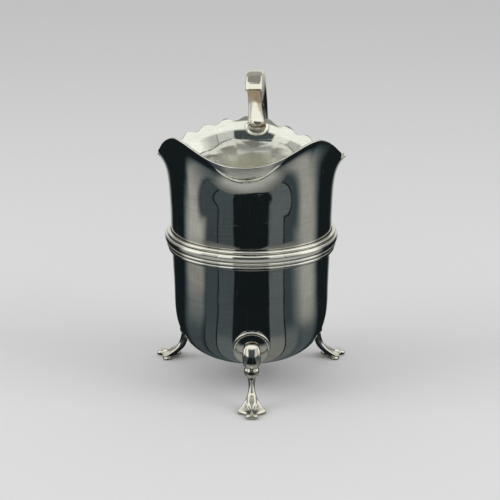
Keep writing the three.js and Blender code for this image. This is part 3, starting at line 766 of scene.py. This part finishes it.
class Graph:
    """Short-hand for a material's nodes."""

    def __init__(self, name):
        self.material = bpy.data.materials.new(name)
        self.material.use_nodes = True
        self.tree = self.material.node_tree
        self.shader = self.tree.nodes["Principled BSDF"]

    def node(self, kind, inputs=None, **settings):
        made = self.tree.nodes.new(kind)
        for name, value in settings.items():
            setattr(made, name, value)
        for name, value in (inputs or {}).items():
            if isinstance(value, bpy.types.NodeSocket):
                self.tree.links.new(value, made.inputs[name])
            else:
                made.inputs[name].default_value = value
        return made

    def math(self, kind, *values):
        return self.node("ShaderNodeMath", dict(enumerate(values)), operation=kind).outputs[0]

    def step(self, value, start, end, low, high):
        """The value eased from one level to another between two limits."""
        return self.node("ShaderNodeMapRange", {
            "Value": value, "From Min": start, "From Max": end, "To Min": low, "To Max": high,
        }, interpolation_type="SMOOTHSTEP").outputs[0]

    def noise(self, place, scale, detail, rotation=(0, 0, 0)):
        """Noise with its own scale along each axis."""
        stretched = self.node("ShaderNodeMapping", {"Vector": place, "Rotation": rotation, "Scale": scale})
        return self.node("ShaderNodeTexNoise", {
            "Vector": stretched.outputs[0], "Scale": 1.0, "Detail": detail,
        }).outputs[0]

    def link(self, output, name):
        self.tree.links.new(output, self.shader.inputs[name])


# Noise over the silver: its scale along each axis, to a metre, and its detail
HAZE = (95, 95, 95), 4
CLOUD = (34, 34, 34), 3
PITS = (1900, 1900, 1900), 2
BRUSHED = (160, 160, 2600), 2
STREAKS = (2600, 2600, 130), 2
# Three sets of fine scratches: the rotation and the scale of their noise
HAIRLINES = (
    ((0.3, 0.2, 0.5), (900, 900, 60)),
    ((1.1, 0.4, 2.1), (1200, 90, 1200)),
    ((0.5, 1.2, 1.0), (70, 1100, 1100)),
)
HAIRLINE_DETAIL = 2
HAIRLINE_LIMITS = 0.64, 0.76
# Tarnish: in hollows, and where a piece keeps a share of tarnish and painted shade; it is thinner where the
# haze is low
HOLLOW_SIZE = 1.6 * MM
HOLLOW_SAMPLES = 8
HOLLOW_LIMITS = 0.35, 0.85
STAIN_AND_SHADE_STRENGTH = 0.88
TARNISH_LIMITS, TARNISH_LEAST = (0.35, 0.62), 0.35
# Patches of the brighter and the warmer tint, from how the silver is rubbed and from the cloud
RUBBED_PART, CLOUD_PART = 0.6, 0.4
PATCH_LIMITS = 0.38, 0.62
# Roughness from the haze, what scratches and the tarnish with its painted shade add to it, and a scratch's
# depth against a pit's
ROUGH_LIMITS = 0.36, 0.66
HAIRLINE_ROUGHNESS = 0.16
TARNISH_ROUGHNESS = 0.22
HAIRLINE_CUT = -0.6
BUMP_STRENGTH = 0.5


def old_silver(name, tint, rough, relief):
    """Polished old silver: brushed haze, hairline scratches, small pits, warm tarnish in the corners,
    tarnish and painted shade where a piece keeps them, and a lighter tint deep inside as painted light.
    """
    graph = Graph(name)
    place = graph.node("ShaderNodeTexCoord").outputs["Object"]
    haze = graph.noise(place, *HAZE)
    cloud = graph.noise(place, *CLOUD)
    pits = graph.noise(place, *PITS)
    brushed = graph.noise(place, *BRUSHED)
    streaks = graph.noise(place, *STREAKS)
    hairline = None
    for rotation, scale in HAIRLINES:
        thin = graph.step(graph.noise(place, scale, HAIRLINE_DETAIL, rotation), *HAIRLINE_LIMITS, 0, 1)
        hairline = thin if hairline is None else graph.math("MAXIMUM", hairline, thin)

    # Tarnish gathers in hollows as patina; the kept share adds tarnish and painted shade
    near = graph.node("ShaderNodeAmbientOcclusion", {"Distance": HOLLOW_SIZE}, samples=HOLLOW_SAMPLES)
    hollow = graph.step(near.outputs["AO"], *HOLLOW_LIMITS, 1, 0)
    stain_and_shade = graph.node("ShaderNodeAttribute", attribute_name=STAIN_AND_SHADE).outputs["Fac"]
    darkened = graph.math("MAXIMUM", hollow, graph.math("MULTIPLY", stain_and_shade, STAIN_AND_SHADE_STRENGTH))
    tarnish_and_shade = graph.math("MULTIPLY", darkened, graph.step(haze, *TARNISH_LIMITS, TARNISH_LEAST, 1))

    bright, warm, dark = tint
    rubbed = graph.math("ADD", graph.math("MULTIPLY", brushed, 0.5), graph.math("MULTIPLY", streaks, 0.5))
    patchy = graph.math("MULTIPLY_ADD", rubbed, RUBBED_PART, graph.math("MULTIPLY", cloud, CLOUD_PART))
    field = graph.node("ShaderNodeMixRGB", {
        "Fac": graph.step(patchy, *PATCH_LIMITS, 0, 1), "Color1": (*bright, 1), "Color2": (*warm, 1),
    }).outputs[0]
    # Deep inside, the added roughness is a duller finish and the lighter tint is painted light
    satin_and_painted_light = graph.node("ShaderNodeAttribute", attribute_name=SATIN_AND_PAINTED_LIGHT).outputs["Fac"]
    unshaded = graph.node("ShaderNodeMixRGB", {"Fac": satin_and_painted_light, "Color1": field, "Color2": (*SATIN_PAINTED_LIGHT_TINT, 1)})
    colour = graph.node("ShaderNodeMixRGB", {
        "Fac": tarnish_and_shade, "Color1": unshaded.outputs[0], "Color2": (*dark, 1),
    })
    graph.link(colour.outputs[0], "Base Color")
    graph.shader.inputs["Metallic"].default_value = 1

    low, high = rough
    base = graph.step(haze, *ROUGH_LIMITS, low, high)
    worn = graph.math("MULTIPLY_ADD", hairline, HAIRLINE_ROUGHNESS, base)
    dull = graph.math("MULTIPLY_ADD", tarnish_and_shade, TARNISH_ROUGHNESS, worn)
    graph.link(graph.math("MULTIPLY_ADD", satin_and_painted_light, SATIN_ROUGHNESS, dull), "Roughness")

    cut = graph.math("MULTIPLY_ADD", hairline, HAIRLINE_CUT, graph.math("ADD", pits, rubbed))
    bump = graph.node("ShaderNodeBump", {
        "Height": cut, "Strength": BUMP_STRENGTH, "Distance": relief * MM,
    })
    graph.link(bump.outputs[0], "Normal")
    return graph.material


# Floor and studio, with lengths in metres
def stage_object(name, points, faces, material):
    mesh = bpy.data.meshes.new(name)
    mesh.from_pydata([tuple(p) for p in points], [], faces)
    made = bpy.data.objects.new(name, mesh)
    bpy.context.scene.collection.objects.link(made)
    mesh.materials.append(material)
    return made


FLOOR_COLOUR = (0.75, 0.75, 0.755)
FLOOR_ROUGHNESS = 0.9
FLOOR_REACH = 3.0


def make_floor():
    graph = Graph("floor")
    graph.shader.inputs["Base Color"].default_value = (*FLOOR_COLOUR, 1)
    graph.shader.inputs["Roughness"].default_value = FLOOR_ROUGHNESS
    graph.shader.inputs["Specular IOR Level"].default_value = 0
    corners = [(FLOOR_REACH * x, FLOOR_REACH * y, 0) for x, y in ((-1, -1), (1, -1), (1, 1), (-1, 1))]
    stage_object("floor", corners, [(0, 1, 2, 3)], graph.material)


# What the silver reflects round the studio, by degrees from the camera towards the picture's right.
# Each card: where it begins, is full, stops being full and ends; its grey standing up, its grey in a
# dark table far from the jug and near it, and the distances between which the table changes
Card = namedtuple("Card", "begin full stop end wall far_grey near_grey near far")
CARDS = (
    Card(-108, -88, -73, -58, 1.15, 0.46, 0.07, 0.04, 0.235),  # left soft box
    Card(-63, -60, -45.4, -44.6, 0.55, 0.068, 0.08, 0.05, 0.1),  # left grey cards, with a seam between
    Card(-43.8, -43, -24.5, -22.5, 0.95, 0.08, 0.13, 0.045, 0.07),
    Card(-25, -21, 20, 25, 0.08, 0.012, 0.3, 0.041, 0.049),  # dark opening for the camera
    Card(22, 24, 42, 42.8, 0.66, 0.125, 0.21, 0.045, 0.07),  # right grey cards, with a seam between
    Card(43.8, 44.6, 58, 72, 0.55, 0.06, 0.15, 0.05, 0.1),
    Card(52, 76, 86, 108, 1.15, 0.36, 0.1, 0.05, 0.12),  # right soft box
    Card(140, 160, 360, 361, 0.75, 0.45, 0.3, 0.05, 0.11),  # soft box behind, in two halves
    Card(-361, -360, -160, -140, 0.75, 0.45, 0.3, 0.05, 0.11),
)
ROOM, ROOM_WALL = 0.013, 0.3  # greys of the table and of the walls between the cards
OVERHEAD, CEILING, REAR_OVERHEAD = 1.1, 0.29, 0.4  # light overhead, its dim middle and its dim back
REAR = 115, 150  # degrees between which the light overhead gives way to the dim part at the back
# The dim middle passes into the light between the two distances from the axis; towards the camera, inside
# the degrees, only past the third distance
CEILING_MIDDLE = 0.3, 0.4
CEILING_SIDES = 13, 30
CEILING_EDGE = 0.55
COOL, WARM = (0.72, 1.0, 1.12), (1.0, 1.01, 0.93)  # tints of the dark and of the light
WARM_LEVEL = 0.25  # light from which the tint is the warm one
CARD_REACH = 0.65
CARD_HEIGHT = 0.85
CARD_CLEARANCE = 0.0002
CARD_SEGMENTS = 96
FOOT_OF_WALL = 0.03  # height at which the table has passed into the walls
LOW, HIGH = 0.36, 0.46  # heights between which the walls pass into the light overhead


def polar(graph):
    """Place on a card, degrees from the camera's side and distance from the axis."""
    place = graph.node("ShaderNodeTexCoord").outputs["Object"]
    radial = graph.node("ShaderNodeTexGradient", {"Vector": place}, gradient_type="RADIAL").outputs["Fac"]
    flat = graph.node("ShaderNodeVectorMath", {0: place, 1: (1, 1, 0)}, operation="MULTIPLY").outputs[0]
    distance = graph.node("ShaderNodeVectorMath", {0: flat}, operation="LENGTH").outputs["Value"]
    return place, graph.math("MULTIPLY_ADD", radial, 360, -180), distance


def shining(graph, surface):
    """The card's material, with a surface in place of the usual shader."""
    graph.tree.links.new(surface.outputs[0], graph.tree.nodes["Material Output"].inputs["Surface"])
    graph.tree.nodes.remove(graph.shader)
    return graph.material


def card_material():
    """Emission that changes with the direction from the jug, its distance and its height."""
    graph = Graph("cards")
    place, degrees, distance = polar(graph)
    away = graph.math("ABSOLUTE", degrees)
    height = graph.node("ShaderNodeSeparateXYZ", {"Vector": place}).outputs["Z"]
    upright = graph.step(height, 0, FOOT_OF_WALL, 0, 1)
    level = graph.math("MULTIPLY_ADD", upright, ROOM_WALL - ROOM, ROOM)
    for card in CARDS:
        begun = graph.step(degrees, card.begin, card.full, 0, 1)
        shown = graph.math("MULTIPLY", begun, graph.step(degrees, card.stop, card.end, 1, 0))
        table = graph.step(distance, card.near, card.far, card.near_grey, card.far_grey)
        grey = graph.node("ShaderNodeMix", {"Factor": upright, "A": table, "B": card.wall}).outputs[0]
        level = graph.node("ShaderNodeMix", {"Factor": shown, "A": level, "B": grey}).outputs[0]
    overhead = graph.step(away, *REAR, OVERHEAD, REAR_OVERHEAD)
    outside = graph.step(distance, *CEILING_MIDDLE, 0, 1)
    lit = graph.math("MULTIPLY", outside, graph.step(away, *CEILING_SIDES, 0, 1))
    ceiling = graph.node("ShaderNodeMix", {"Factor": lit, "A": CEILING, "B": overhead}).outputs[0]
    above = graph.step(distance, CEILING_EDGE, CARD_REACH, ceiling, overhead)
    level = graph.node("ShaderNodeMix", {
        "Factor": graph.step(height, LOW, HIGH, 0, 1), "A": level, "B": above,
    }).outputs[0]
    tint = graph.node("ShaderNodeMixRGB", {
        "Fac": graph.step(level, 0, WARM_LEVEL, 0, 1), "Color1": (*COOL, 1), "Color2": (*WARM, 1),
    }).outputs[0]
    return shining(graph, graph.node("ShaderNodeEmission", {"Color": tint, "Strength": level}))


# The card that the flare under the lip reflects, over the girdle's lower edge: its reach from the axis
# at its inner edge, before the camera and beside it, and the angles between which it widens and ends
LIP_CARD_Z = 0.051
LIP_CARD_INNER, LIP_CARD_OUTER, LIP_CARD_WIDE = 0.0325, 0.0475, 0.0525
LIP_CARD_CORNER = 6, 22
LIP_CARD_END = 34, 60
LIP_CARD_GREYS = 0.44, 0.14
LIP_CARD_BLUR = 0.0012


def lip_card_material():
    graph = Graph("lip_card")
    _, degrees, distance = polar(graph)
    away = graph.math("ABSOLUTE", degrees)
    outer = graph.step(away, *LIP_CARD_CORNER, LIP_CARD_OUTER, LIP_CARD_WIDE)
    edge = graph.step(graph.math("SUBTRACT", outer, distance), 0, LIP_CARD_BLUR, 0, 1)
    shown = graph.math("MULTIPLY", graph.step(away, *LIP_CARD_END, 1, 0), edge)
    grey = graph.step(distance, LIP_CARD_INNER, LIP_CARD_WIDE, *LIP_CARD_GREYS)
    light = graph.node("ShaderNodeEmission", {"Color": (*WARM, 1), "Strength": grey})
    clear = graph.node("ShaderNodeBsdfTransparent")
    return shining(graph, graph.node("ShaderNodeMixShader", {
        0: shown, 1: clear.outputs[0], 2: light.outputs[0],
    }))


def only_reflected(piece):
    """Puts a card round the jug's axis, its zero angle towards the camera, where only reflections see it."""
    piece.location = (AXIS.x, AXIS.y, 0)
    piece.rotation_euler = (0, 0, CAMERA_YAW - math.pi / 2)
    piece.visible_camera = piece.visible_diffuse = piece.visible_shadow = False
    piece.visible_transmission = piece.visible_volume_scatter = False


def ring_points(radius, z, turn):
    return np.stack((radius * np.cos(turn), radius * np.sin(turn), np.full(len(turn), z)), axis=-1)


def make_cards():
    """A dark table, walls and a ceiling that carry the cards."""
    count = CARD_SEGMENTS
    turn = np.arange(count) / count * 2 * np.pi
    rings = [ring_points(CARD_REACH, z, turn) for z in (CARD_CLEARANCE, CARD_HEIGHT)]
    centres = [(0, 0, CARD_CLEARANCE), (0, 0, CARD_HEIGHT)]
    faces = []
    for i in range(count):
        after = (i + 1) % count
        faces.append((i, after, after + count, i + count))
        faces.append((2 * count, after, i))
        faces.append((2 * count + 1, i + count, after + count))
    only_reflected(stage_object("cards", np.concatenate((*rings, centres)), faces, card_material()))


def make_lip_card():
    count = CARD_SEGMENTS
    turn = np.radians(np.linspace(-LIP_CARD_END[1], LIP_CARD_END[1], count))
    rings = [ring_points(radius, LIP_CARD_Z, turn) for radius in (LIP_CARD_INNER, LIP_CARD_WIDE)]
    faces = [(i, i + 1, i + 1 + count, i + count) for i in range(count - 1)]
    only_reflected(stage_object("lip_card", np.concatenate(rings), faces, lip_card_material()))


# Lamps, which reflections don't see
SOFTBOXES = (("left_softbox", -75), ("right_softbox", 70))  # names, and degrees from the camera
SOFTBOX_DISTANCE = 0.7
SOFTBOX_HEIGHT = 0.5
SOFTBOX_SIZE = 0.5
SOFTBOX_POWER = 2
SOFTBOX_AIM = 0.05  # height on the jug's axis


def make_softbox(name, degrees):
    data = bpy.data.lights.new(name, "AREA")
    data.shape = "RECTANGLE"
    data.size = data.size_y = SOFTBOX_SIZE
    data.energy = SOFTBOX_POWER
    lamp = bpy.data.objects.new(name, data)
    angle = CAMERA_YAW + math.radians(degrees)
    lamp.location = (
        AXIS.x + SOFTBOX_DISTANCE * math.sin(angle),
        AXIS.y - SOFTBOX_DISTANCE * math.cos(angle),
        SOFTBOX_HEIGHT,
    )
    lamp.rotation_euler = (math.atan2(SOFTBOX_DISTANCE, SOFTBOX_HEIGHT - SOFTBOX_AIM), 0, angle)
    lamp.visible_camera = lamp.visible_glossy = False
    bpy.context.scene.collection.objects.link(lamp)


WORLD_LIGHT, WORLD_SHOWN = 0.68, 1.0  # strengths of the white as light, and as it is seen


def make_world():
    world = bpy.data.worlds.new("studio")
    bpy.context.scene.world = world
    world.use_nodes = True
    tree = world.node_tree
    back = tree.nodes["Background"]
    back.inputs["Color"].default_value = (1, 1, 1, 1)
    path = tree.nodes.new("ShaderNodeLightPath")
    seen = path.outputs["Is Camera Ray"]
    for ray in ("Is Glossy Ray", "Is Transmission Ray"):
        either = tree.nodes.new("ShaderNodeMath")
        either.operation = "MAXIMUM"
        tree.links.new(seen, either.inputs[0])
        tree.links.new(path.outputs[ray], either.inputs[1])
        seen = either.outputs[0]
    level = tree.nodes.new("ShaderNodeMapRange")
    level.inputs["To Min"].default_value = WORLD_LIGHT
    level.inputs["To Max"].default_value = WORLD_SHOWN
    tree.links.new(seen, level.inputs["Value"])
    tree.links.new(level.outputs[0], back.inputs["Strength"])


# Bright, warm and tarnished tints of the silvers, the last also the colour of painted shade, least and
# greatest roughness, and relief in millimetres
SILVER_TINT = ((0.81, 0.81, 0.79), (0.68, 0.68, 0.65), (0.2, 0.155, 0.1))
WIRE_TINT = ((0.87, 0.87, 0.84), (0.77, 0.76, 0.72), (0.24, 0.185, 0.12))
CAST_TINT = ((0.83, 0.81, 0.76), (0.75, 0.72, 0.65), (0.25, 0.18, 0.11))
RAISED_ROUGHNESS = 0.035, 0.075
WIRE_ROUGHNESS = 0.05, 0.1
CAST_ROUGHNESS = 0.1, 0.17
FINE_RELIEF, CAST_RELIEF = 0.004, 0.01
GLOSSY_BOUNCES = 10  # light reaches the bottom of the jug in many steps

make_camera()
raised = old_silver("raised_silver", SILVER_TINT, RAISED_ROUGHNESS, FINE_RELIEF)
wire = old_silver("wire_silver", WIRE_TINT, WIRE_ROUGHNESS, FINE_RELIEF)
cast = old_silver("cast_silver", CAST_TINT, CAST_ROUGHNESS, CAST_RELIEF)
plated = old_silver("plate_silver", WIRE_TINT, WIRE_ROUGHNESS, FINE_RELIEF)
make_body(raised)
make_girdle(wire)
make_tongue(plated)
make_lower_plate(plated)
make_scroll(cast)
make_strap(cast)
make_legs(cast, plated)
make_floor()
make_cards()
make_lip_card()
for name, degrees in SOFTBOXES:
    make_softbox(name, degrees)
make_world()
bpy.context.scene.view_settings.view_transform = "Standard"
bpy.context.scene.cycles.glossy_bounces = GLOSSY_BOUNCES
